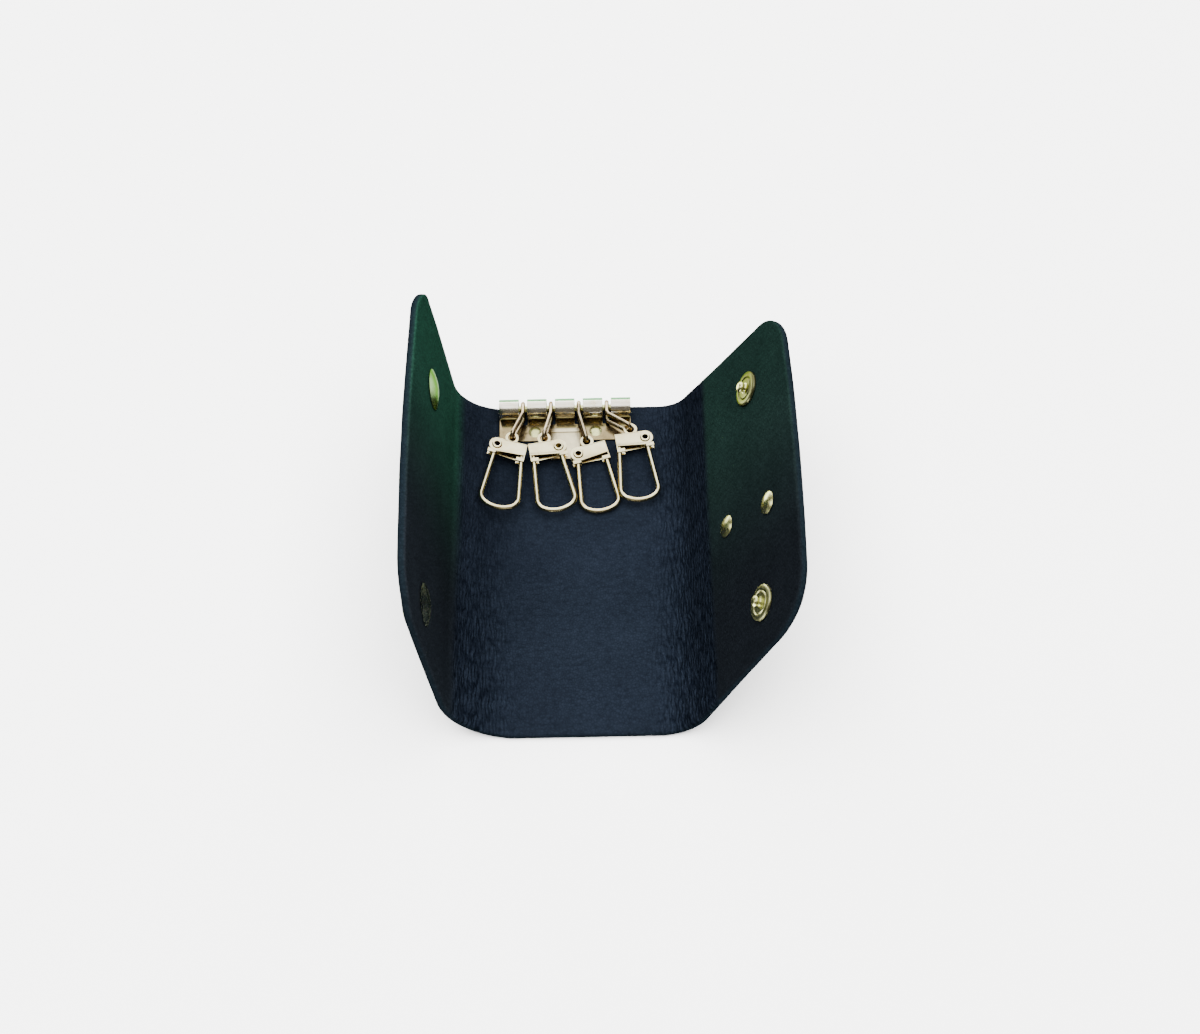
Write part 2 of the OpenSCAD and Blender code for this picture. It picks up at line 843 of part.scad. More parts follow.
back_panel();
left_fold();
left_flap();
right_fold();
right_flap();
key_plate();
hook_rod();
plate_rivets();
link(0);  // link_1
link(1);  // link_2
link(2);  // link_3
link(3);  // link_4
hook_body(0);  // hook_body_1
hook_body(1);  // hook_body_2
hook_body(2);  // hook_body_3
hook_body(3);  // hook_body_4
hook_eyelet(0);  // hook_eyelet_1
hook_eyelet(1);  // hook_eyelet_2
hook_eyelet(2);  // hook_eyelet_3
hook_eyelet(3);  // hook_eyelet_4
hook_loop(0);  // hook_loop_1
hook_loop(1);  // hook_loop_2
hook_loop(2);  // hook_loop_3
hook_loop(3);  // hook_loop_4
left_snap_caps();
left_snap_sockets();
socket_springs();
right_snap_studs();
right_snap_caps();
tab_rivets();
outer_tab();
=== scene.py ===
"""Looks of the open key case: one detailed skin for the hide, worn brass, camera, floor, light.

Lengths are in millimetres and turn into metres where a mesh is made. On the flat hide s runs
across, from the left flap's end to the right one's with 0 in the middle of the back, and y runs
along the folds, from the near end to the far one.
"""
import math
import bmesh
import bpy
import numpy as np
from mathutils import Matrix, Vector


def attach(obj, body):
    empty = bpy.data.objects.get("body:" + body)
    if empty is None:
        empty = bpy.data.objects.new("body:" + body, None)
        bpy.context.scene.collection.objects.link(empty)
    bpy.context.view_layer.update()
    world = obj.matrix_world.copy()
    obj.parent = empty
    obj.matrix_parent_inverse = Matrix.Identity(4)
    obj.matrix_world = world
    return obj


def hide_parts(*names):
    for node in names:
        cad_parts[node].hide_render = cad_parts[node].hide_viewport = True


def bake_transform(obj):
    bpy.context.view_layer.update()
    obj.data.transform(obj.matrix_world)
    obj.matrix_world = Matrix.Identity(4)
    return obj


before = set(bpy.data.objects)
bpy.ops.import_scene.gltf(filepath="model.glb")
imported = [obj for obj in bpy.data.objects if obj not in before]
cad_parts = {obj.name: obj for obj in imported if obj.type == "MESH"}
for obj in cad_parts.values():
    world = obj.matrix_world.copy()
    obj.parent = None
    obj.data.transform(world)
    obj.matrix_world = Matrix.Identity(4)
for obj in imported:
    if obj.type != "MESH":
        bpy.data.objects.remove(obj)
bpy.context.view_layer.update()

MM = 0.001

# sizes of the hide, as the CAD has them; pairs are for the near and the far end
HIDE_T = 2.2
HALF_L = 52.0
HALF_FLAT = 20.0
EDGE_R = 0.6
LEFT = dict(side=-1, flat=HALF_FLAT, half=HALF_L, bend_r=16.0, lean=math.radians(83.5),
            width=46.8, taper=(0.12, 0.05), corner=(12.5, 5.5),
            twist=math.radians(1.8), bow=0.0, curl=0.9)
RIGHT = dict(side=1, flat=HALF_FLAT, half=HALF_L, bend_r=10.0, lean=math.radians(64.0),
             width=53.0, taper=(0.09, 0.1), corner=(15.0, 12.5),
             twist=math.radians(-1.0), bow=0.8, curl=0.6)
for flap in (LEFT, RIGHT):
    flap["arc"] = flap["bend_r"] * flap["lean"]
    flap["reach"] = HALF_FLAT + flap["arc"] + flap["width"]
TWIST_FROM, TWIST_FULL = 41, 50
CURL_FROM, CURL_HALF = 8, 44

# places of the hardware on the hide
PLATE_X, PLATE_HALF_W, PLATE_LOW_Y = -5.2, 18.8, 40.0
LEFT_SNAP_X, RIGHT_SNAP_X = 25.8, 34.8
SNAP_Y = (30.4, -34.8)
TAB_RIVET = (19.5, -3.9)
TAB_PITCH, TAB_SLOPE = 21.6, math.radians(-13)
TAB_L, TAB_W, TAB_T = 32.0, 13.0, 1.8


# ---------------------------------------------------------------- noise
TABLE_SIZE = 257
CELL_JITTER = 0.48


def lattice(seed):
    return np.random.default_rng(seed).random((TABLE_SIZE, TABLE_SIZE)) * 2 - 1


TABLES = [lattice(seed) for seed in range(11, 19)]


def noise(index, x, y):
    """Smooth noise from -1 to 1 on one of the repeating tables."""
    table = TABLES[index]
    x0, y0 = np.floor(x).astype(int), np.floor(y).astype(int)
    fx, fy = x - x0, y - y0
    fx, fy = fx * fx * (3 - 2 * fx), fy * fy * (3 - 2 * fy)
    x0, y0, x1, y1 = (k % TABLE_SIZE for k in (x0, y0, x0 + 1, y0 + 1))
    low = table[x0, y0] * (1 - fx) + table[x1, y0] * fx
    high = table[x0, y1] * (1 - fx) + table[x1, y1] * fx
    return low * (1 - fy) + high * fy


def cell_gap(x, y):
    """How far a place is from its cell's border: 0 on the border, up to about 1 in the middle."""
    x0, y0 = np.floor(x).astype(int), np.floor(y).astype(int)
    first = np.full(x.shape, 9.0)
    second = np.full(x.shape, 9.0)
    for i in (-1, 0, 1):
        for j in (-1, 0, 1):
            a, b = (x0 + i) % TABLE_SIZE, (y0 + j) % TABLE_SIZE
            px = x0 + i + 0.5 + CELL_JITTER * TABLES[6][a, b]
            py = y0 + j + 0.5 + CELL_JITTER * TABLES[7][a, b]
            d = np.hypot(x - px, y - py)
            second = np.minimum(second, np.maximum(first, d))
            first = np.minimum(first, d)
    return second - first


def step(a, b, x):
    t = np.clip((x - a) / (b - a), 0, 1)
    return t * t * (3 - 2 * t)


# ---------------------------------------------------------------- the hide
def half_at(s, flap, end):
    """Half the length of a sheet at a distance s from its middle, at its near or far end."""
    return flap["half"] - flap["taper"][end] * np.maximum(s - flap["flat"], 0)


def edge_y(s, flap, end, inset):
    """Half the length of a sheet inside its rounded corners, less an inset."""
    corner = flap["corner"][end]
    start = flap["reach"] - corner
    over = np.clip(s - start, 0, corner - inset)
    rounded = half_at(start, flap, end) - corner + np.sqrt((corner - inset) ** 2 - over * over)
    return np.where(s > start, rounded, half_at(s, flap, end) - inset)


# where the wrinkles begin and are full on the back, and where they fade at the flap
RIGHT_WRINKLES = (13, 27, 40.6, 42.2)
LEFT_WRINKLES = (-13, -31, -37.0, -39.5)
# the cells of the long and of the short wrinkles, across and along the folds
LONG_CELL, SHORT_CELL = (1.45, 6.5), (1.0, 2.3)
# the slope of the line where the right wrinkles end
FOLD_SLOPE = 0.012


def wrinkle_zones(s, y):
    """Where the hide is pressed together on the inside of its bends: right and left, 0 to 1."""
    wave = 0.8 * noise(2, s * 0 + 3, y / 7 + 60)
    begin, full, fade, end = RIGHT_WRINKLES
    right = step(begin, full, s + wave) * (1 - step(fade, end, s + 0.5 * wave - FOLD_SLOPE * y))
    begin, full, fade, end = LEFT_WRINKLES
    left = step(begin, full, s + wave) * (1 - step(fade, end, s + 0.5 * wave))
    return right, left


def relief(s, y, inner):
    """Height of the surface over the plain sheet, at places of the flat hide."""
    slow = 0.09 * noise(0, s / 17 + 40, y / 23 + 40) + 0.04 * noise(1, s / 6 + 40, y / 9 + 40)
    for cs, cy, radius, _ in SEATS:
        slow = slow * step(radius - 1, radius + 4, np.hypot(s - cs, y - cy))
    if not inner:
        return slow
    near = step(35, -50, y)
    right, left = wrinkle_zones(s, y)
    bent = s + 0.7 * noise(2, s / 4 + 70, y / 9 + 70)
    long = cell_gap(bent / LONG_CELL[0] + 90, y / LONG_CELL[1] + 90)
    short = cell_gap(bent / SHORT_CELL[0] + 30, y / SHORT_CELL[1] + 10)
    valleys = -(1 - step(0.0, 0.42, long)) * (0.45 + 0.55 * near)
    valleys = valleys - (1 - step(0.0, 0.4, short)) * 0.55 * (1 - 0.5 * near)
    patchy = 0.8 + 0.2 * noise(3, s / 5 + 20, y / 11 + 20)
    strength = (right * (0.10 + 0.16 * near) + left * (0.05 + 0.18 * near)) * patchy
    swell = 0.05 * noise(4, bent / 2.4 + 90, y / 14 + 30) * (right + left)
    return slow + strength * valleys + swell


def seats(s, y):
    """How far the caps and rivets press the hide down."""
    down = np.zeros_like(s)
    for cs, cy, radius, depth in SEATS:
        d = np.hypot(s - cs, y - cy)
        down += depth * (1 - step(radius * 0.9, radius + 2.4, d))
    return down


def place(s, y, h):
    """A point of the flat hide, h over its inner side, on the bent hide with its curled ends."""
    out = np.empty(s.shape + (3,))
    out[..., 1] = y
    for flap in (LEFT, RIGHT):
        mine = s * flap["side"] >= 0
        twist = flap["twist"] * y / TWIST_FULL * step(TWIST_FROM, TWIST_FULL, np.abs(y))
        lean = flap["lean"] + twist
        bend_r = flap["bend_r"]
        run = np.abs(s) - HALF_FLAT
        angle = np.clip(run / bend_r, 0, lean)
        rest = np.maximum(run - bend_r * lean, 0)
        x = HALF_FLAT + np.minimum(run, 0) + (bend_r - h) * np.sin(angle) + rest * np.cos(angle)
        share = np.clip(rest - CURL_FROM, 0, None) / (flap["width"] - CURL_FROM)
        x += flap["curl"] * share ** 2 * (1 - (y / CURL_HALF) ** 2)
        z = HIDE_T + bend_r - (bend_r - h) * np.cos(angle) + rest * np.sin(angle)
        out[..., 0] = np.where(mine, flap["side"] * x, out[..., 0])
        out[..., 2] = np.where(mine, z, out[..., 2])
    return out


def on_right(x):
    return RIGHT["arc"] + HALF_FLAT + x


def on_left(x):
    return -(LEFT["arc"] + HALF_FLAT + x)


RIVETS = [(TAB_RIVET[0] + k * TAB_PITCH * math.cos(TAB_SLOPE),
           TAB_RIVET[1] + k * TAB_PITCH * math.sin(TAB_SLOPE)) for k in (0, 1)]
# seats of the hardware: place, radius and depth
SEATS = [(on_left(LEFT_SNAP_X), y, 5.5, 0.2) for y in SNAP_Y]
SEATS += [(on_right(RIGHT_SNAP_X), y, 4.75, 0.16) for y in SNAP_Y]
SEATS += [(on_right(x), y, 3.0, 0.22) for x, y in RIVETS]


def spaced(start, stops):
    """Places from a start on, in steps of about a gap up to each (end, gap)."""
    places = [start]
    for end, gap in stops:
        start = places[-1]
        n = max(1, round((end - start) / gap))
        places += [start + (end - start) * (k + 1) / n for k in range(n)]
    return np.array(places)


def corner_start(flap, end):
    """Where a sheet's corner has turned by 45 degrees, just inside its rounded rim."""
    turned_by = (flap["corner"][end] - EDGE_R) * (1 - math.cos(math.pi / 4))
    return flap["reach"] - EDGE_R - turned_by


def build_sheet(ends, stops, rows, thick, top_relief, low_relief):
    """A sheet with a rounded rim, laid flat: places with heights, faces, each point's column."""
    left, right = ends
    low, high = -corner_start(left, 0), corner_start(right, 0)
    columns = spaced(low, stops + [(high, 0.8)])
    w = np.linspace(-1, 1, rows)
    w = w * (1 + 0.25 * (1 - w * w))
    # the grid follows the ends' outline near them; a sheet without a flat middle takes a share
    fade_over = 22 if left["flat"] else 0.3 * (high - low)
    fade_in = 1 - step(0, fade_over, columns - low)
    fade_out = 1 - step(0, fade_over, high - columns)
    s = np.repeat(columns[:, None], rows, 1)
    y = np.zeros_like(s)
    for end, mine in ((0, w < 0), (1, w >= 0)):
        rim = columns - fade_in * (corner_start(left, end) + low)
        rim = rim + fade_out * (corner_start(right, end) - high)
        half = np.where(columns < 0, edge_y(-rim, left, end, EDGE_R),
                        edge_y(rim, right, end, EDGE_R))
        y[:, mine] = half[:, None] * w[None, mine]
        for flap, fade, row, side in ((left, fade_in, 0, -1), (right, fade_out, -1, 1)):
            corner = flap["corner"][end]
            straight = half_at(flap["reach"] - corner, flap, end)
            past = np.maximum(np.abs(y[row, mine]) - straight + corner, 0)
            free = np.sqrt(np.maximum((corner - EDGE_R) ** 2 - past ** 2, 0))
            free = free + flap["reach"] - corner + flap["bow"] * (1 - w[mine] ** 2)
            s[:, mine] += fade[:, None] * (side * free - columns[row])[None, :]
    ni, nj = s.shape
    # the outline of the grid, counterclockwise from the near left corner
    ring = [(i, 0) for i in range(ni)] + [(ni - 1, j) for j in range(1, nj)]
    ring += [(i, nj - 1) for i in range(ni - 2, -1, -1)] + [(0, j) for j in range(nj - 2, 0, -1)]
    on_ring = tuple(np.array(ring).T)
    rs, ry = s[on_ring], y[on_ring]
    ds, dy = np.roll(rs, -1) - np.roll(rs, 1), np.roll(ry, -1) - np.roll(ry, 1)
    length = np.hypot(ds, dy)
    out_s, out_y = dy / length, -ds / length
    # layers of the sheet from its inner side round the rim to its outer side
    turns = [math.radians(a) for a in (22.5, 45, 67.5, 90)]
    rounds = [(EDGE_R * math.sin(a), -EDGE_R * (1 - math.cos(a))) for a in turns]
    rounds.append((EDGE_R + 0.04, -thick / 2))
    rounds += [(EDGE_R * math.sin(a), -thick + EDGE_R * (1 - math.cos(a)))
               for a in reversed(turns)]
    flat, heights, faces, column = [], [], [], []

    def add(ss, yy, hh, cc):
        first = sum(len(f) for f in flat)
        flat.append(np.stack([ss.ravel(), yy.ravel()], 1))
        heights.append(hh.ravel())
        column.append(cc.ravel())
        return first

    index = np.arange(ni * nj).reshape(ni, nj)
    cols = np.repeat(np.arange(ni)[:, None], nj, 1)
    top_h = top_relief(s, y)
    bottom_h = low_relief(s, y) - thick
    top = add(s, y, top_h, cols) + index
    a, b, c, d = top[:-1, :-1], top[1:, :-1], top[1:, 1:], top[:-1, 1:]
    faces.append(np.stack([a, b, c, d], -1).reshape(-1, 4))
    last = top[on_ring]
    edge_top = top_h[on_ring]
    edge_low = bottom_h[on_ring] + thick
    wobble = 0.10 * noise(5, rs / 9 + 50, ry / 9 + 50) + 0.04 * noise(0, rs / 2.2, ry / 2.2 + 9)
    for out, h in rounds:
        share = -h / thick
        offset = out * (1 + wobble)
        height = h + edge_top * (1 - share) + edge_low * share
        first = add(rs + out_s * offset, ry + out_y * offset, height, on_ring[0])
        new = first + np.arange(len(ring))
        faces.append(np.stack([last, new, np.roll(new, -1), np.roll(last, -1)], -1))
        last = new
    bottom = add(s, y, bottom_h, cols) + index
    new = bottom[on_ring]
    faces.append(np.stack([last, new, np.roll(new, -1), np.roll(last, -1)], -1))
    a, b, c, d = bottom[:-1, :-1], bottom[1:, :-1], bottom[1:, 1:], bottom[:-1, 1:]
    faces.append(np.stack([a, d, c, b], -1).reshape(-1, 4))
    sheet = np.column_stack([np.concatenate(flat), np.concatenate(heights)])
    return sheet, np.concatenate(faces), np.concatenate(column), columns


def build_hide():
    """The whole hide as one closed sheet, bent to its place, with the plate's seat pressed in."""
    stops = [(-70, 0.9), (-50, 1.2), (-42, 0.6), (-15, 0.3), (9, 0.8), (44, 0.29), (75, 1.2)]
    sheet, faces, column, columns = build_sheet(
        (LEFT, RIGHT), stops, 157, HIDE_T,
        lambda s, y: relief(s, y, True) - seats(s, y), lambda s, y: relief(s, y, False))
    points = place(sheet[:, 0], sheet[:, 1], sheet[:, 2])
    under = np.abs(points[:, 0] - PLATE_X) < PLATE_HALF_W + 0.5
    under &= (points[:, 1] > PLATE_LOW_Y - 0.5) & (sheet[:, 2] > -0.6)
    points[under, 2] = np.minimum(points[under, 2], HIDE_T - 0.02)
    return points, faces, sheet, columns[column[faces]].mean(1)


def build_tab():
    """The tab on the outside of the right flap, swollen a little round its rivets."""
    corner = TAB_W / 2 - 0.01
    end = dict(flat=0, half=TAB_W / 2, taper=(0, 0), corner=(corner, corner), reach=TAB_L / 2,
               bow=0.0)

    def low_relief(s, y):
        swell = 0.05 * noise(1, s / 5 + 10, y / 5 + 10)
        for side in (-1, 1):
            swell = swell + 0.18 * (1 - step(2.7, 5.2, np.hypot(s - side * TAB_PITCH / 2, y)))
        return swell

    sheet, faces, _, _ = build_sheet((end, end), [(0, 0.7)], 27, TAB_T,
                                     lambda s, y: s * 0, low_relief)
    cos_, sin_ = math.cos(TAB_SLOPE), math.sin(TAB_SLOPE)
    run = sheet[:, 0] + TAB_PITCH / 2
    along = TAB_RIVET[0] + run * cos_ - sheet[:, 1] * sin_
    across = TAB_RIVET[1] + run * sin_ + sheet[:, 1] * cos_
    return place(on_right(along), across, sheet[:, 2] - HIDE_T), faces, sheet


def normals_of(points, faces):
    quads = points[faces]
    face = np.cross(quads[:, 2] - quads[:, 0], quads[:, 3] - quads[:, 1])
    total = np.zeros_like(points)
    for k in range(4):
        np.add.at(total, faces[:, k], face)
    return total / np.maximum(np.linalg.norm(total, axis=1, keepdims=True), 1e-12)


# colours of the hide: the panel, its leather lightened and blued by a painted sheen; the lower
# flaps; the flaps' far ends, green from a painted reflection; the outside; the rim, its cut edge's
# colour with a painted highlight
PANEL_WITH_SHEEN = np.array([0.0033, 0.0045, 0.0070])
FLAP = np.array([0.0022, 0.0028, 0.0036])
LEFT_GREEN_REFLECTION = np.array([0.0052, 0.0190, 0.0124])
RIGHT_GREEN_REFLECTION = np.array([0.0036, 0.0088, 0.0072])
OUTSIDE = np.array([0.0018, 0.0028, 0.0042])
RIM_WITH_HIGHLIGHT = np.array([0.0030, 0.0050, 0.0068])


def tones(sheet, thick):
    """The slow changes of colour over the hide, painted sheen, shade and green reflection among
    them, and, as alpha, where it is wrinkled.
    """
    s, y, h = sheet.T
    panel = step(-41.0, -35.0, s) * (1 - step(39.4, 43.4, s - FOLD_SLOPE * y))
    # painted green reflection, growing towards the far ends of the flaps
    green = step(-30, 42, y)[:, None]
    left_flap = FLAP * (1 + 0.7 * (1 - green)) + (LEFT_GREEN_REFLECTION - FLAP) * green ** 1.6
    flap = np.where(s[:, None] < 0, left_flap, FLAP + (RIGHT_GREEN_REFLECTION - FLAP) * green)
    # the panel: the leather's navy, lightened and blued by a painted sheen
    inner = flap + (PANEL_WITH_SHEEN - flap) * panel[:, None]
    # painted shade: the panel darker at its bends, where they turn from the light, the left bend
    # lightened again; besides, the inner side is darker towards the far end
    panel_shading = 1 - 0.20 * (step(18, 34, np.abs(s)) * panel)
    panel_shading = panel_shading * (1.06 - 0.2 * step(0, 45, y)) * (1 + 0.3 * (step(-26, -34, s) * panel))
    cloud = 1 + 0.10 * noise(0, s / 12 + 9, y / 12 + 9) + 0.06 * noise(1, s / 4 + 9, y / 4 + 9)
    dip = np.clip(relief(s, y, True) - relief(s, y, False), -0.3, 0.1)
    near = step(45, -45, y)
    right, left = wrinkle_zones(s, y)
    folded = right * (0.75 + 0.25 * near) + left * (0.4 + 0.6 * near)
    # painted shade: darker in the valleys of the wrinkles; lighter over the wrinkled zones,
    # against the painted crease shade of the material
    wear_and_shade = panel_shading * cloud * (np.clip(1.04 + 1.6 * dip, 0.5, 1.3) + 0.5 * folded)
    inner = inner * wear_and_shade[:, None]
    down = step(-0.75, -thick + 0.75, h)
    colour = inner + (OUTSIDE * cloud[:, None] - inner) * down[:, None]
    # the rim: its cut edge's colour with a painted highlight
    rim = step(-0.25, -0.7, h) * (1 - step(-thick + 0.75, -thick + 0.35, h))
    colour = colour + (RIM_WITH_HIGHLIGHT - colour) * rim[:, None] * 0.8
    return np.column_stack([colour, folded * (1 - down)])


def leather_piece(name, keep, points, faces, normals, sheet, thick):
    """A piece of leather from the faces that it keeps, with the whole sheet's normals."""
    used, back = np.unique(faces[keep], return_inverse=True)
    mesh = bpy.data.meshes.new(name)
    mesh.from_pydata((points[used] * MM).tolist(), [], back.reshape(-1, 4).tolist())
    rest = mesh.attributes.new("sheet", "FLOAT_VECTOR", "POINT")
    rest.data.foreach_set("vector", (sheet[used] * MM).astype(np.float32).ravel())
    tone = mesh.attributes.new("tone", "FLOAT_COLOR", "POINT")
    tone.data.foreach_set("color", tones(sheet[used], thick).astype(np.float32).ravel())
    mesh.polygons.foreach_set("use_smooth", [True] * len(mesh.polygons))
    mesh.normals_split_custom_set_from_vertices(normals[used].tolist())
    mesh.materials.append(HIDE)
    obj = bpy.data.objects.new(name, mesh)
    bpy.context.scene.collection.objects.link(obj)
    return obj


# ---------------------------------------------------------------- materials
WHITE = (1.0, 1.0, 1.0)


class Nodes:
    """A small help to write a material's nodes one after the other."""

    def __init__(self, name):
        self.material = bpy.data.materials.new(name)
        self.material.use_nodes = True
        self.tree = self.material.node_tree
        self.shader = self.tree.nodes["Principled BSDF"]

    def link(self, source, target):
        self.tree.links.new(source, target)

    def put(self, value, socket):
        """A constant or another node's output on a socket."""
        if hasattr(value, "is_output"):
            self.link(value, socket)
        elif socket.type == "RGBA":
            socket.default_value = (*value, 1)
        else:
            socket.default_value = value

    def add(self, kind, **values):
        node = self.tree.nodes.new("ShaderNode" + kind)
        for key, value in values.items():
            if key in node.inputs:
                self.put(value, node.inputs[key])
            else:
                setattr(node, key, value)
        return node

    def ramp(self, source, stops):
        node = self.add("ValToRGB", Fac=source)
        elements = node.color_ramp.elements
        while len(elements) < len(stops):
            elements.new(0.5)
        for element, (position, colour) in zip(elements, stops):
            element.position = position
            element.color = (*colour, 1)
        return node.outputs["Color"]

    def mix(self, factor, a, b, kind="MIX"):
        node = self.add("Mix", data_type="RGBA", blend_type=kind)
        for value, socket in ((factor, node.inputs[0]), (a, node.inputs[6]), (b, node.inputs[7])):
            self.put(value, socket)
        return node.outputs[2]

    def math(self, operation, a, b=0.0, clamp=False):
        node = self.add("Math", operation=operation, use_clamp=clamp)
        self.put(a, node.inputs[0])
        self.put(b, node.inputs[1])
        return node.outputs[0]

    def weighted(self, a, factor, b):
        """A share of one value and the whole of another."""
        return self.math("ADD", self.math("MULTIPLY", a, factor), b)

    def noise(self, vector, scale, detail=3.0, rough=0.5):
        node = self.add("TexNoise", Vector=vector, Scale=scale, Detail=detail, Roughness=rough)
        return node.outputs["Fac"]

    def scaled(self, vector, scale, turn=(0, 0, 0)):
        return self.add("Mapping", Vector=vector, Scale=scale, Rotation=turn).outputs["Vector"]

    def bump(self, height, strength, distance):
        node = self.add("Bump", Height=height, Strength=strength, Distance=distance)
        self.link(node.outputs["Normal"], self.shader.inputs["Normal"])


def leather(name):
    n = Nodes(name)
    at = n.add("Attribute", attribute_type="GEOMETRY", attribute_name="sheet").outputs["Vector"]
    painted = n.add("Attribute", attribute_type="GEOMETRY", attribute_name="tone")
    tone, zone = painted.outputs["Color"], painted.outputs["Alpha"]
    # fine pebbles with darker pores between them
    mottle = n.noise(n.scaled(at, (0.7, 1.5, 1.0)), 620, 4, 0.62)
    pores = n.add("TexVoronoi", feature="F1", Vector=at, Scale=2300.0)
    cells = n.add("TexVoronoi", feature="DISTANCE_TO_EDGE", Vector=at, Scale=1250.0)
    pebble = n.math("MULTIPLY", n.math("MINIMUM", cells.outputs["Distance"], 0.25), 4.0)
    shade = n.weighted(pebble, 0.3, n.weighted(mottle, 0.95, -0.02))
    base = n.mix(1.0, tone, n.ramp(shade, [(0.0, (0.35,) * 3), (1.0, (1.6,) * 3)]), "MULTIPLY")
    # wrinkles along the bends: long narrow folds and shorter ones across their gaps, with painted
    # shade along their lines
    sway = n.add("TexNoise", Vector=at, Scale=260.0, Detail=2.0)
    drift = n.add("VectorMath", operation="MULTIPLY_ADD")
    n.link(sway.outputs["Color"], drift.inputs[0])
    drift.inputs[1].default_value = (0.0019, 0.0019, 0.0)
    n.link(at, drift.inputs[2])
    folds = []
    for across, along in ((0.00100, 0.0078), (0.00070, 0.0034)):
        squeezed = n.scaled(drift.outputs[0], (1 / across, 1 / along, 0.0))
        cell = n.add("TexVoronoi", feature="DISTANCE_TO_EDGE", voronoi_dimensions="2D",
                     Vector=squeezed, Scale=1.0)
        off_line = n.math("MULTIPLY", cell.outputs["Distance"], 3.6)
        folds.append(n.math("SUBTRACT", 1.0, off_line, clamp=True))
    fold = n.weighted(folds[0], 0.7, n.math("MULTIPLY", folds[1], 0.4))
    fold = n.math("MULTIPLY", fold, zone)
    # painted crease shade: darker along the fold lines, a little lighter between them
    crease_shade = n.ramp(fold, [(0.0, (1.1, 1.1, 1.1)), (0.85, (0.30, 0.32, 0.36))])
    n.put(n.mix(1.0, base, crease_shade, "MULTIPLY"), n.shader.inputs["Base Color"])
    shine = n.weighted(mottle, 0.16, n.weighted(pebble, -0.06, 0.46))
    n.put(shine, n.shader.inputs["Roughness"])
    height = n.weighted(pebble, 0.5, n.math("MULTIPLY", n.noise(at, 2600, 2, 0.6), 0.6))
    height = n.weighted(pores.outputs["Distance"], 0.5, height)
    height = n.math("SUBTRACT", height, n.math("MULTIPLY", fold, 2.2))
    n.bump(height, 0.7, 0.00016)
    n.shader.inputs["Specular IOR Level"].default_value = 0.0
    return n.material


def metal(name, bright, dull, rough, edge, ends=None, side_shade=None, grain=0.12):
    """Worn brass: two shades in patches, fine scratches, and its colour at grazing angles.

    ends are painted reflection tints, the first for the near pieces and the second for the far
    ones; the tint for the faces that turn from straight up is a painted shade, so that the upper
    faces look lit from above; and grain is how deep the scratches are.
    """
    n = Nodes(name)
    coordinates = n.add("TexCoord")
    at = coordinates.outputs["Object"]
    patches = n.noise(at, 210, 4, 0.62)
    wear_and_shade = n.math("MULTIPLY", n.math("SUBTRACT", patches, 0.42), 3.0, clamp=True)
    colour = n.mix(wear_and_shade, bright, dull)
    brown = n.mix(1.0, colour, (0.72, 0.66, 0.55), "MULTIPLY")
    colour = n.mix(n.math("MULTIPLY", n.noise(at, 1700, 3, 0.6), 0.6), colour, brown)
    # painted reflection: by their place along y, near pieces keep the first tint and far ones take
    # the second
    if ends:
        along = n.add("SeparateXYZ", Vector=at).outputs["Y"]
        shade = n.math("ADD", n.math("MULTIPLY", along, 15.0), 0.5, clamp=True)
        colour = n.mix(1.0, colour, n.ramp(shade, list(enumerate(ends))), "MULTIPLY")
    # painted shade: faces that turn from straight up take the side tint, the upper faces stay
    # bright as if lit from above
    if side_shade:
        upright = n.add("SeparateXYZ", Vector=coordinates.outputs["Normal"]).outputs["Z"]
        tint = n.ramp(upright, [(0.05, side_shade), (0.85, WHITE)])
        colour = n.mix(1.0, colour, tint, "MULTIPLY")
    n.put(colour, n.shader.inputs["Base Color"])
    hair = n.noise(n.scaled(at, (1.0, 7.0, 3.0), (0.3, 0.5, 0.8)), 900, 3, 0.7)
    shine = n.weighted(wear_and_shade, 0.10, n.weighted(hair, 0.11, rough - 0.06))
    n.put(shine, n.shader.inputs["Roughness"])
    n.bump(n.weighted(patches, 1.4, hair), grain, 0.00003)
    n.shader.inputs["Metallic"].default_value = 1.0
    n.shader.inputs["Specular Tint"].default_value = (*edge, 1)
    return n.material


HIDE = leather("navy_hide")
# its sides painted darker than its tops, a painted shade
PALE = metal("champagne_brass", (0.98, 0.92, 0.60), (0.76, 0.65, 0.36), 0.15,
             (0.44, 0.34, 0.17), side_shade=(0.70, 0.60, 0.38))
SATIN = metal("satin_brass", (0.82, 0.75, 0.52), (0.64, 0.56, 0.36), 0.3, (0.6, 0.55, 0.38))
# the curls: brass lightened almost to white by a painted highlight, with a green tint at grazing
# angles that is a painted reflection
CURL = metal("curl_brass", (1.0, 0.985, 0.88), (0.84, 0.76, 0.55), 0.22, (0.38, 0.62, 0.42))
# a painted green reflection on the back of the curls' tops
GREEN_REFLECTION_BAND = metal("curl_brass_green_reflection", (0.26, 0.44, 0.28), (0.20, 0.34, 0.19), 0.22,
             (0.26, 0.5, 0.3))
# the plate's sheet: the same brass as the curls, darkened to brown by painted shade
PLATE = metal("plate_brass", (0.38, 0.31, 0.17), (0.21, 0.16, 0.08), 0.2, (0.4, 0.42, 0.24))
# its sides painted darker than its tops, a painted shade
LINK = metal("link_brass", (0.54, 0.46, 0.32), (0.30, 0.22, 0.14), 0.14,
             (0.20, 0.14, 0.08), side_shade=(0.66, 0.56, 0.40))
GOLD = metal("gold_rivet_brass", (0.84, 0.86, 0.42), (0.64, 0.66, 0.29), 0.26,
             (0.5, 0.54, 0.26))
# the far stud painted darker than the near one, a painted shade
OLIVE = metal("olive_brass", (0.72, 0.74, 0.38), (0.52, 0.52, 0.24), 0.3,
              (0.20, 0.28, 0.14), ends=(WHITE, (0.25, 0.25, 0.25)))
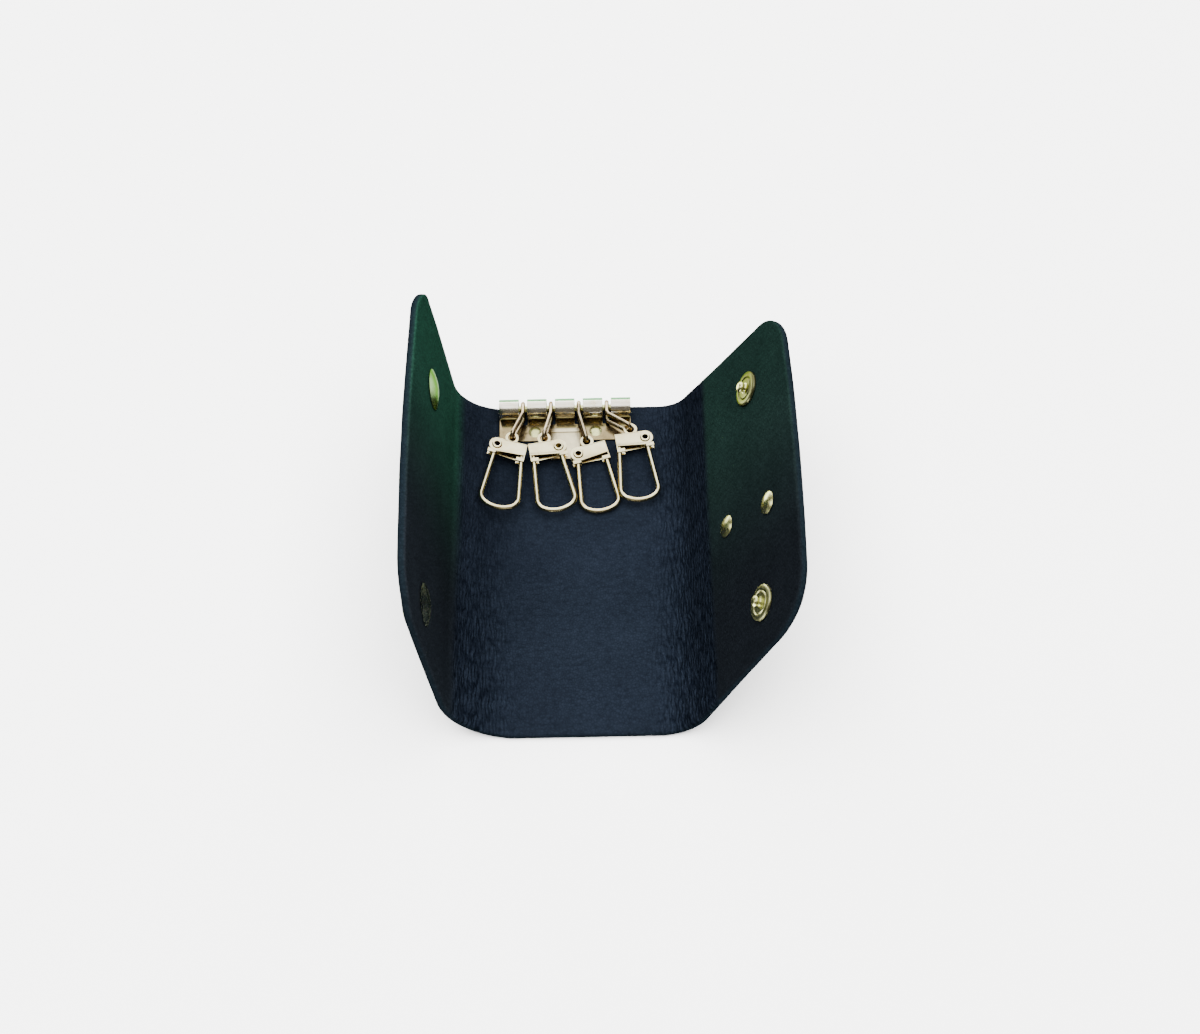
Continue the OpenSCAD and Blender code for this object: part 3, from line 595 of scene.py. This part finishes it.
# greenish brass: its green partly the caps' own tint and partly a painted reflection of green
# surroundings; the far cap painted darker and greener, a painted reflection
CAP = metal("greenish_brass_and_green_reflection", (0.42, 0.48, 0.36), (0.34, 0.38, 0.27), 0.24,
            (0.26, 0.34, 0.23), ends=(WHITE, (0.33, 0.45, 0.30)), grain=0.03)
STEEL = metal("spring_steel", (0.5, 0.52, 0.48), (0.3, 0.32, 0.28), 0.3, (0.4, 0.44, 0.4))


def run_at(flap, degrees):
    return HALF_FLAT + flap["bend_r"] * math.radians(degrees)


points, faces, sheet, column_s = build_hide()
normals = normals_of(points, faces)
CUTS = [-run_at(LEFT, 56), -12.0, 12.0, run_at(RIGHT, 55)]
which = np.digitize(column_s, CUTS)
NAMES = ["hide_left_cover", "hide_left_bend", "hide_back", "hide_right_bend", "hide_right_cover"]
skins = [leather_piece(name, which == k, points, faces, normals, sheet, HIDE_T)
         for k, name in enumerate(NAMES)]
left_cover, left_bend, back, right_bend, right_cover = skins
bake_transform(left_cover)
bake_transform(left_bend)
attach(back, "case")
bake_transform(right_bend)
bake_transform(right_cover)
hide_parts("left_flap")
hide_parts("left_fold")
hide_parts("back_panel")
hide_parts("right_fold")
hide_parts("right_flap")
tab_points, tab_faces, tab_sheet = build_tab()
tab = leather_piece("leather_tab", slice(None), tab_points, tab_faces,
                    normals_of(tab_points, tab_faces), tab_sheet, TAB_T)
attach(tab, "right_cover")
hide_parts("outer_tab")


# ---------------------------------------------------------------- help for the hardware
def turned(degrees, axis):
    return Matrix.Rotation(math.radians(degrees), 4, axis)


def arc(cx, cy, radius, start, stop, count):
    """Points of an arc, angles in degrees."""
    angles = np.radians(np.linspace(start, stop, count))
    return [(cx + radius * math.cos(a), cy + radius * math.sin(a)) for a in angles]


def box(x0, x1, y0, y1):
    return [(x0, y0), (x1, y0), (x1, y1), (x0, y1)]


def slab(bm, outline, low, high, bevel=0.07, hole=None):
    """A flat piece of sheet between two levels, its edges eased; a hole is (x, y, radius)."""
    def closed(loop):
        return [bm.edges.get((loop[k], loop[(k + 1) % len(loop)])) for k in range(len(loop))]

    levels = []
    for level in (low, high):
        rim = [bm.verts.new((x, y, level)) for x, y in outline]
        bore = [bm.verts.new((x, y, level)) for x, y in arc(*hole, 0, 345, 24)] if hole else []
        levels.append((rim, bore))
    walls = []
    for lower, upper in zip(*levels):
        for k in range(len(lower)):
            j = (k + 1) % len(lower)
            walls.append(bm.faces.new((lower[k], lower[j], upper[j], upper[k])))
    caps = []
    for rim, bore in levels:
        if bore:
            made = bmesh.ops.triangle_fill(bm, edges=closed(rim) + closed(bore), use_beauty=True)
            caps += [f for f in made["geom"] if isinstance(f, bmesh.types.BMFace)]
        else:
            caps.append(bm.faces.new(rim))
    bmesh.ops.recalc_face_normals(bm, faces=walls + caps)
    sharp = [edge for level in levels for loop in level for edge in closed(loop)]
    bmesh.ops.bevel(bm, geom=sharp, offset=bevel, segments=2, profile=0.6,
                    affect="EDGES", clamp_overlap=True)


def ring_piece(bm, cx, cy, profile, count=32):
    """A turned piece round an upright axis; the profile is a closed list of (radius, level)."""
    rings = []
    for k in range(count):
        a = 2 * math.pi * k / count
        rings.append([bm.verts.new((cx + r * math.cos(a), cy + r * math.sin(a), z))
                      for r, z in profile])
    for k in range(count):
        a, b = rings[k], rings[(k + 1) % count]
        for i in range(len(profile)):
            j = (i + 1) % len(profile)
            bm.faces.new((a[i], b[i], b[j], a[j]))


def tube(bm, path, radius, count=20):
    """A round wire along a flat path, with domed ends."""
    path = np.array(path)
    along = np.gradient(path, axis=0)
    along /= np.linalg.norm(along, axis=1, keepdims=True)
    side = np.column_stack([along[:, 1], -along[:, 0]])
    domes = [(math.cos(math.radians(a)), math.sin(math.radians(a))) for a in (25, 50, 72)]
    stations = [(path[0], side[0], along[0], c, -s * radius) for c, s in reversed(domes)]
    stations += [(p, s, a, 1.0, 0.0) for p, s, a in zip(path, side, along)]
    stations += [(path[-1], side[-1], along[-1], c, s * radius) for c, s in domes]
    rings = []
    for p, s, a, share, ahead in stations:
        centre = p + a * ahead
        ring = []
        for k in range(count):
            t = 2 * math.pi * k / count
            out, up = radius * share * math.cos(t), radius * share * math.sin(t)
            ring.append(bm.verts.new((centre[0] + s[0] * out, centre[1] + s[1] * out, up)))
        rings.append(ring)
    for a, b in zip(rings, rings[1:]):
        for k in range(count):
            j = (k + 1) % count
            bm.faces.new((a[k], a[j], b[j], b[k]))
    bm.faces.new(reversed(rings[0]))
    bm.faces.new(rings[-1])


def wire_ring(bm, path, radius, count=18):
    """A round wire along a closed path in space."""
    path = np.array(path)
    along = np.roll(path, -1, axis=0) - np.roll(path, 1, axis=0)
    along /= np.linalg.norm(along, axis=1, keepdims=True)
    side = np.cross(along, path - path.mean(0))
    side /= np.linalg.norm(side, axis=1, keepdims=True)
    out = np.cross(side, along)
    turns = np.linspace(0, 2 * math.pi, count, endpoint=False)
    rings = [[bm.verts.new(p + radius * (math.cos(t) * a + math.sin(t) * b)) for t in turns]
             for p, a, b in zip(path, side, out)]
    for k, ring in enumerate(rings):
        after = rings[(k + 1) % len(rings)]
        for i in range(count):
            j = (i + 1) % count
            bm.faces.new((ring[i], after[i], after[j], ring[j]))


def finish_piece(bm, name, place_at, material, body, replaced=None):
    """Put a piece at its place and let it ride and stand for its CAD node."""
    bm.transform(Matrix.Scale(MM, 4) @ place_at)
    bmesh.ops.recalc_face_normals(bm, faces=bm.faces)
    for face in bm.faces:
        face.smooth = True
    for edge in bm.edges:
        edge.smooth = len(edge.link_faces) == 2 and edge.calc_face_angle(0) < math.radians(42)
    mesh = bpy.data.meshes.new(name)
    bm.to_mesh(mesh)
    bm.free()
    mesh.materials.append(material)
    obj = bpy.data.objects.new(name, mesh)
    bpy.context.scene.collection.objects.link(obj)
    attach(obj, body)
    if replaced:
        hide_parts(replaced)
    return obj


# ---------------------------------------------------------------- links, hooks and loops
# their frames follow the CAD: rod, link, ear; angles in degrees, one for each of the four
ROD_Y, ROD_Z, CURL_PITCH = 49.6, 5.05, 8.0
LINK_RUN, LINK_BEND, LINK_REACH, EAR_AHEAD, EAR_RIDE = 2.9, 1.65, 10.5, 1.4586, 0.35
SLANTS, RISES = (-20, -12.5, 14, 52), (11, 10.5, 1.5, 10.5)
TURNS, FALLS, ROLLS = (-12, 9, 16, 8), (-1, 4, 4, 4), (10, 0, 0, 0)
LOOP_TURNS, SIDES = (3, 1, -7, -2), (-1, 1, -1, 1)
LINK_RING, LINK_R = 1.55, 0.6
# the hook: its eyelet, its folded sheet, its ear
EYE_X, EYE_Y, EYE_R, EYE_BORE_R, SHEET_BORE_R = -3.6, -3.7, 1.55, 0.74, 0.94
SHEET_T, BODY_T, END_R = 0.35, 1.05, 2.2
CATCH_X, CATCH_Y, HEAD_Y = 4.8, -7.3, -1.6
EAR_R, EAR_HOLE_R, EAR_T = 1.9, 1.1, 0.7
LIPS = ((CATCH_X - 2.2, CATCH_X, CATCH_Y, -6.2), (-5.75, -3.5, -6.5, -5.4))
# the loop, with the reach of each of the four
WIRE_R = 0.7
LOOP = dict(corner_r=3.0, half_w=5.25, bottom=(23.5, 23.1, 22.2, 22.9),
            spread=math.radians(30), lean=math.radians(5.5), tip=-5.3)


def link_start(n):
    """The middle of a link's bearing on the rod, with the link's rise."""
    on_rod = Matrix.Translation((PLATE_X + (n - 1.5) * CURL_PITCH, ROD_Y, ROD_Z))
    return on_rod @ turned(-RISES[n], "X")


def link_shape(n):
    """Which way a link bends, by what angle, and how long its straight end is."""
    side = 1 if SLANTS[n] > 0 else -1
    bend = math.radians(abs(SLANTS[n]))
    return side, bend, LINK_REACH - LINK_RUN - LINK_BEND * bend


def hook_frame(n):
    """The place of a hook: the hole of its ear is the origin, its loop lies along -y."""
    side, bend, straight = link_shape(n)
    past_x = side * LINK_BEND * (1 - math.cos(bend))
    past_y = -LINK_RUN - LINK_BEND * math.sin(bend)
    past = Matrix.Translation((past_x, past_y, 0)) @ turned(SLANTS[n], "Z")
    ear = Matrix.Translation((0, -straight - EAR_AHEAD, -EAR_RIDE))
    level = turned(-SLANTS[n], "Z") @ turned(RISES[n], "X")
    own = turned(TURNS[n], "Z") @ turned(ROLLS[n], "Y") @ turned(FALLS[n], "X")
    flip = Matrix.Diagonal((-SIDES[n], 1, 1, 1))
    return link_start(n) @ past @ ear @ level @ own @ flip


def make_link(n):
    """A link: an upright oval round the rod, bent past the curls, its end through the ear."""
    side, bend, straight = link_shape(n)
    near = [(0, -y, z) for y, z in arc(0, 0, LINK_RING, 270, 90, 14)]
    strand = [(0, -LINK_RUN * k / 5, 0) for k in range(1, 6)]
    strand += [(side * LINK_BEND * (1 - math.cos(a)), -LINK_RUN - LINK_BEND * math.sin(a), 0)
               for a in np.linspace(0, bend, 8)[1:]]
    x0, y0, _ = strand[-1]
    ahead = (side * math.sin(bend), -math.cos(bend))
    strand += [(x0 + ahead[0] * d, y0 + ahead[1] * d, 0) for d in np.linspace(0, straight, 8)[1:]]
    x1, y1, _ = strand[-1]
    far = [(x1 + ahead[0] * d, y1 + ahead[1] * d, z) for d, z in arc(0, 0, LINK_RING, 90, -90, 14)]
    over = [(x, y, LINK_RING) for x, y, _ in strand[:-1]]
    under = [(x, y, -LINK_RING) for x, y, _ in strand[-2::-1]]
    bm = bmesh.new()
    wire_ring(bm, near + over + far + under, LINK_R)
    name = "link_%d" % (n + 1)
    finish_piece(bm, name + "_wire", link_start(n), LINK, name, name)


def body_outline(bottom_left, bottom_right):
    """The hook's folded sheet: round at the eyelet, straight on top, its lower edge slanted."""
    end = arc(EYE_X, EYE_Y, END_R, 95, 270, 22)
    return end + [(EYE_X + 0.6, bottom_left), (CATCH_X, bottom_right), (CATCH_X, HEAD_Y)]


def make_hook(n):
    at = hook_frame(n)
    bore = (EYE_X, EYE_Y, SHEET_BORE_R)
    bm = bmesh.new()
    slab(bm, body_outline(-5.9, -5.25), BODY_T - SHEET_T, BODY_T, 0.07, bore)
    slab(bm, body_outline(-5.95, -6.55), -BODY_T, -BODY_T + SHEET_T, 0.07, bore)
    # the fold along the top, the lips that hold the wire at both lower corners, the closed side
    slab(bm, box(EYE_X + 1.4, CATCH_X, -1.95, -1.5), -BODY_T, BODY_T, 0.12)
    for lip in LIPS:
        slab(bm, box(*lip), BODY_T - SHEET_T - 0.08, BODY_T - 0.08)
        slab(bm, box(*lip), -BODY_T + 0.02, -BODY_T + SHEET_T)
    slab(bm, box(CATCH_X - 0.3, CATCH_X, CATCH_Y, HEAD_Y), -BODY_T + 0.05, BODY_T - 0.1, 0.05)
    ear = arc(0, 0, EAR_R, -40, 220, 30) + [(-EAR_R + 0.1, -1.8), (EAR_R - 0.1, -1.8)]
    slab(bm, ear, -EAR_T / 2, EAR_T / 2, 0.12, (0, 0, EAR_HOLE_R))
    number = n + 1
    body = "hook_%d" % number
    finish_piece(bm, "hook_%d_sheet" % number, at, PALE, body, "hook_body_%d" % number)
    # the eyelet: a tube with rolled rims
    top = BODY_T + 0.32
    rolled = [(0.86, top + 0.05), (1.08, top + 0.07), (1.3, top - 0.02), (1.42, top - 0.16),
              (1.42, BODY_T - 0.02)]
    profile = [(EYE_BORE_R, -top + 0.07), (EYE_BORE_R, top - 0.07)] + rolled
    profile += [(0.96, BODY_T - 0.05), (0.96, -BODY_T + 0.05)]
    profile += [(r, -z) for r, z in reversed(rolled)]
    bm = bmesh.new()
    ring_piece(bm, EYE_X, EYE_Y, profile)
    finish_piece(bm, "eyelet_%d_rolled" % number, at, PALE, body, "hook_eyelet_%d" % number)


def make_loop(n):
    rc, spread, lean = LOOP["corner_r"], LOOP["spread"], LOOP["lean"]
    cx = LOOP["half_w"] - rc
    big = rc + cx / math.sin(spread)
    cy = -LOOP["bottom"][n] + big - (big - rc) * math.cos(spread)
    low_x, low_y = cx + rc * math.cos(lean), cy + rc * math.sin(lean)
    top = EYE_Y - EYE_R * 0.6

    def strand(side, end_y):
        ys = np.linspace(low_y, end_y, 12)
        return [(side * (low_x - (y - low_y) * math.tan(lean)), y) for y in ys]

    spread, lean_by = math.degrees(spread), math.degrees(lean)
    path = strand(-1, top)[::-1]
    path += arc(-cx, cy, rc, 180 - lean_by, 270 - spread, 16)[1:]
    path += arc(0, -LOOP["bottom"][n] + big, big, 270 - spread, 270 + spread, 24)[1:]
    path += arc(cx, cy, rc, 270 + spread, 360 + lean_by, 16)[1:]
    path += strand(1, LOOP["tip"])[1:]
    bm = bmesh.new()
    tube(bm, path, WIRE_R)
    eye = [(EYE_R + WIRE_R * math.cos(t), WIRE_R * math.sin(t))
           for t in np.linspace(0, 2 * math.pi, 17)[:-1]]
    ring_piece(bm, EYE_X, EYE_Y, eye)
    spin = turned(LOOP_TURNS[n] * -SIDES[n], "Z")
    eyelet = Vector((EYE_X, EYE_Y, 0))
    about = Matrix.Translation(eyelet) @ spin @ Matrix.Translation(-eyelet)
    number = n + 1
    finish_piece(bm, "loop_%d_wire" % number, hook_frame(n) @ about, PALE,
                 "loop_%d" % number, "hook_loop_%d" % number)


# ---------------------------------------------------------------- key plate and studs
CURL_W, CURL_R, CURL_END, CURL_FOOT = 5.6, 2.85, 227, 3.95
PLATE_T, PLATE_DROP, TONGUE_DROP, TONGUE_TOP, TONGUE_HALF = 0.7, 9.6, 16.0, 6.1, 4.2


def make_plate():
    """The slotted sheet, its tongue, and the five curls that roll over the rod."""
    at = Matrix.Translation((PLATE_X, ROD_Y, ROD_Z - CURL_R))
    bm = bmesh.new()
    outline = [(-PLATE_HALF_W, -PLATE_DROP), (PLATE_HALF_W, -PLATE_DROP), (PLATE_HALF_W, 0.0)]
    for k in (1.5, 0.5, -0.5, -1.5):
        middle, half = k * CURL_PITCH, (CURL_PITCH - CURL_W) / 2
        outline += [(middle + half, 0.0), (middle + half, -CURL_FOOT)]
        outline += [(middle - half, -CURL_FOOT), (middle - half, 0.0)]
    slab(bm, outline + [(-PLATE_HALF_W, 0.0)], 0.0, PLATE_T, 0.14)
    finish_piece(bm, "plate_sheet", at, PLATE, "case", "key_plate")
    roll = arc(0, CURL_R, CURL_R, -90, CURL_END, 64)
    roll += arc(0, CURL_R, CURL_R - PLATE_T, CURL_END, -90, 56)
    stand = Matrix(((0, 0, 1, 0), (1, 0, 0, 0), (0, 1, 0, 0), (0, 0, 0, 1)))
    bm = bmesh.new()
    for k in range(-2, 3):
        curl = bmesh.new()
        slab(curl, roll, -CURL_W / 2, CURL_W / 2, 0.1)
        curl.transform(Matrix.Translation((k * CURL_PITCH, 0, 0)) @ stand)
        mesh = bpy.data.meshes.new("curl")
        curl.to_mesh(mesh)
        curl.free()
        bm.from_mesh(mesh)
        bpy.data.meshes.remove(mesh)
    curls = finish_piece(bm, "plate_curls", at, CURL, "case")
    # a painted green reflection along the back of the curls' tops
    curls.data.materials.append(GREEN_REFLECTION_BAND)
    for face in curls.data.polygons:
        if face.center.y > (ROD_Y + 0.75) * MM and face.center.z > (ROD_Z + 0.7) * MM:
            face.material_index = 1
    bm = bmesh.new()
    wide, top = (-TONGUE_HALF, TONGUE_HALF), -TONGUE_TOP
    slab(bm, box(*wide, -TONGUE_DROP, top), 0.04, 0.92, 0.16)
    slab(bm, box(*wide, top - 0.9, top + 0.5), 0.3, 1.2, 0.34)
    finish_piece(bm, "plate_tongue", at, SATIN, "case")


# the studs: a grooved base and a ball on a neck, as (radius, height) over the right flap
BASE = [(0.01, 0.76), (1.2, 0.8), (2.5, 0.83), (2.85, 0.79), (3.05, 0.6), (3.25, 0.79),
        (3.6, 0.85), (4.3, 0.8), (4.65, 0.62), (4.75, 0.35), (4.75, 0.0), (0.01, 0.0)]
HEAD = [(0.01, 2.9), (0.55, 2.86), (1.02, 2.7), (1.36, 2.44), (1.48, 2.16), (1.4, 1.94),
        (1.2, 1.8), (1.06, 1.66), (1.04, 1.2), (1.16, 0.95), (1.5, 0.84), (1.5, 0.7),
        (0.01, 0.7)]


def make_studs():
    lean, bend_r = RIGHT["lean"], RIGHT["bend_r"]
    foot = (HALF_FLAT + bend_r * math.sin(lean), 0, HIDE_T + bend_r * (1 - math.cos(lean)))
    at = Matrix.Translation(foot) @ turned(-math.degrees(lean), "Y")
    for name, profile, material, replaced in (("stud_bases", BASE, OLIVE, "right_snap_studs"),
                                              ("stud_heads", HEAD, GOLD, None)):
        bm = bmesh.new()
        for y in SNAP_Y:
            ring_piece(bm, RIGHT_SNAP_X, y, profile, 48)
        bmesh.ops.remove_doubles(bm, verts=bm.verts, dist=0.03)
        finish_piece(bm, name, at, material, "right_cover", replaced)


make_plate()
make_studs()
for hook in range(4):
    make_link(hook)
    make_hook(hook)
    make_loop(hook)

# ---------------------------------------------------------------- other hardware
OWN = {"socket_springs": STEEL, "left_snap_caps": CAP}
for name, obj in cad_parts.items():
    if not obj.hide_render:
        obj.data.materials.clear()
        obj.data.materials.append(OWN.get(name, GOLD))

# ---------------------------------------------------------------- floor, light, camera
bpy.ops.mesh.primitive_plane_add(size=4.0, location=(0, 0, -0.0002))
floor = bpy.context.object
floor.name = "floor"
paper = bpy.data.materials.new("paper")
paper.use_nodes = True
paper_shader = paper.node_tree.nodes["Principled BSDF"]
paper_shader.inputs["Base Color"].default_value = (0.93, 0.93, 0.93, 1)
paper_shader.inputs["Roughness"].default_value = 0.9
floor.data.materials.append(paper)

world = bpy.data.worlds.new("studio")
bpy.context.scene.world = world
world.use_nodes = True
world.node_tree.nodes["Background"].inputs["Color"].default_value = (1.0, 0.92, 0.76, 1)
world.node_tree.nodes["Background"].inputs["Strength"].default_value = 0.16


def area(name, location, target, size, power):
    light = bpy.data.lights.new(name, "AREA")
    light.shape = "RECTANGLE"
    light.size, light.size_y = size
    light.energy = power
    obj = bpy.data.objects.new(name, light)
    obj.location = location
    aim = Vector(target) - Vector(location)
    obj.rotation_euler = aim.to_track_quat("-Z", "Y").to_euler()
    bpy.context.scene.collection.objects.link(obj)
    return obj


area("back_soft", (0.0, 1.15, 0.52), (0, 0, 0), (1.7, 0.55), 18)
area("high_soft", (0.0, 0.66, 1.0), (0, 0, 0), (1.5, 0.65), 8.5)
area("top_soft", (0.0, -0.02, 1.2), (0, 0, 0), (1.4, 0.7), 9)
area("left_soft", (-0.9, 0.0, 0.7), (0, 0, 0.02), (0.4, 0.5), 2.5)
# a wide light that brightens the floor without a mirror image in the metal
fill = area("fill_soft", (0.0, -0.1, 1.6), (0, 0, 0), (2.2, 2.0), 205)
fill.visible_glossy = False

# the camera as fitted to the photo: its distance in metres, its target in millimetres
EYE = dict(far=0.5, elevation=math.radians(57.96), azimuth=math.radians(0.60),
           roll=math.radians(-1.77), target=(4.37, 6.35, 15.0), focal_px=1850)
PHOTO_W, SENSOR_W = 1200, 36


def photo_camera():
    e, a, r = EYE["elevation"], EYE["azimuth"], EYE["roll"]
    backward = Vector((math.sin(a) * math.cos(e), -math.cos(a) * math.cos(e), math.sin(e)))
    level = Vector((math.cos(a), math.sin(a), 0))
    raised = backward.cross(level)
    right = level * math.cos(r) + raised * math.sin(r)
    up = raised * math.cos(r) - level * math.sin(r)
    data = bpy.data.cameras.new("photo_camera")
    data.sensor_fit = "HORIZONTAL"
    data.sensor_width = SENSOR_W
    data.lens = SENSOR_W * EYE["focal_px"] / PHOTO_W
    data.clip_start = 0.01
    obj = bpy.data.objects.new("photo_camera", data)
    turn = Matrix((right, up, backward)).transposed().to_4x4()
    place_at = Vector(EYE["target"]) * MM + backward * EYE["far"]
    obj.matrix_world = Matrix.Translation(place_at) @ turn
    bpy.context.scene.collection.objects.link(obj)
    bpy.context.scene.camera = obj


photo_camera()
